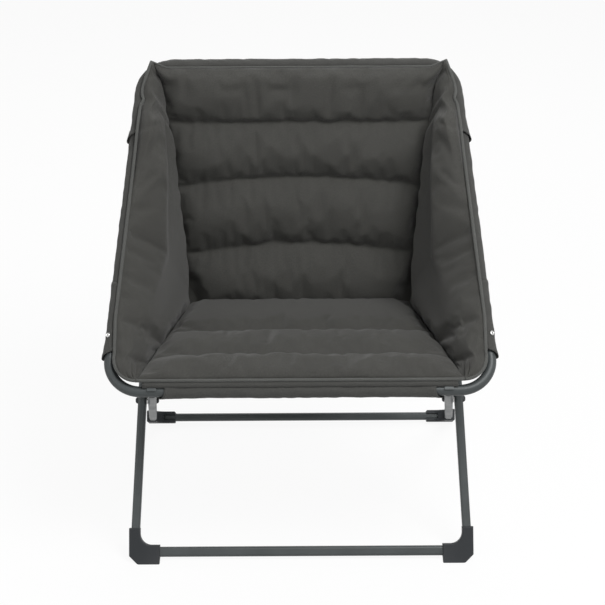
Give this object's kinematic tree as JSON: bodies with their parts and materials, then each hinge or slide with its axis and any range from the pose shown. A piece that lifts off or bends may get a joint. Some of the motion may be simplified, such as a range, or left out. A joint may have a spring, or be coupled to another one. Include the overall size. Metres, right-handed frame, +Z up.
{
  "type": "folding camping chair",
  "caption": "Folding camp chair with crossed tube legs, a bent ring frame and a quilted bucket seat with padded wings.",
  "frame": {"origin": "on the floor at the middle of the chair's width and depth", "axes": "+X to the right as seen from the front, +Y from the front to the back, +Z up"},
  "size_m": [0.7956, 0.6692, 0.9136],
  "materials": {
    "quilted_fabric": "dark charcoal woven polyester, quilted",
    "sleeve_fabric": "dark charcoal woven polyester sleeve",
    "bright_steel": "bright zinc-plated steel",
    "black_plastic": "matt black moulded plastic",
    "frame_coat": "dark grey powder coat"
  },
  "bodies": {
    "front_legs": {"front_base_rail": "frame_coat", "front_leg_left": "frame_coat", "front_leg_right": "frame_coat", "front_foot_left": "black_plastic", "front_foot_right": "black_plastic", "front_foot_screws": "bright_steel", "front_leg_end_caps": "black_plastic", "leg_pivot_bolts": "bright_steel", "leg_pivot_outer_caps": "black_plastic", "leg_pivot_inner_caps": "black_plastic", "leg_pivot_washers": "bright_steel"},
    "rear_legs": {"rear_base_rail": "frame_coat", "rear_leg_left": "frame_coat", "rear_leg_right": "frame_coat", "rear_foot_left": "black_plastic", "rear_foot_right": "black_plastic", "rear_foot_screws": "bright_steel", "rail_strap_left": "frame_coat", "rail_strap_right": "frame_coat", "rail_strap_rivets": "bright_steel"},
    "ring_rear": {"back_ring_tube": "frame_coat", "ring_hinge_rivets": "bright_steel", "ring_hinge_washers": "bright_steel", "arm_pivot_bolts": "bright_steel", "arm_pivot_bushes": "black_plastic", "top_sleeve": "sleeve_fabric", "arm_sleeve_left": "sleeve_fabric", "arm_sleeve_right": "sleeve_fabric", "hinge_sleeve_left": "sleeve_fabric", "hinge_sleeve_right": "sleeve_fabric", "sleeve_screws": "bright_steel", "back_pad": "quilted_fabric", "seat_pad": "quilted_fabric", "side_wing_left": "quilted_fabric", "side_wing_right": "quilted_fabric"},
    "ring_front": {"front_ring_tube": "frame_coat", "front_sleeve": "sleeve_fabric"}
  },
  "joints": [
    {"name": "leg_fold", "type": "hinge", "parent": "front_legs", "child": "rear_legs", "pos_m": [0, -0.13769, 0.29451], "axis": [-1, 0, 0], "range_deg": [0, 76.5]},
    {"name": "ring_swing", "type": "hinge", "parent": "front_legs", "child": "ring_rear", "pos_m": [0, 0.13688, 0.7923], "axis": [1, 0, 0], "range_deg": [0, 28.24]},
    {"name": "ring_hinge", "type": "hinge", "parent": "ring_rear", "child": "ring_front", "pos_m": [0, -0.21621, 0.49705], "axis": [-1, 0, 0], "range_deg": [0, 145.37], "deforming": ["seat_pad", "back_pad", "side_wing_left", "side_wing_right", "hinge_sleeve_left", "hinge_sleeve_right", "sleeve_screws"]}
  ],
  "couplings": [
    {"joint": "ring_swing", "follows": "leg_fold", "ratio": 0.36261},
    {"joint": "ring_hinge", "follows": "leg_fold", "ratio": 1.8937}
  ]
}
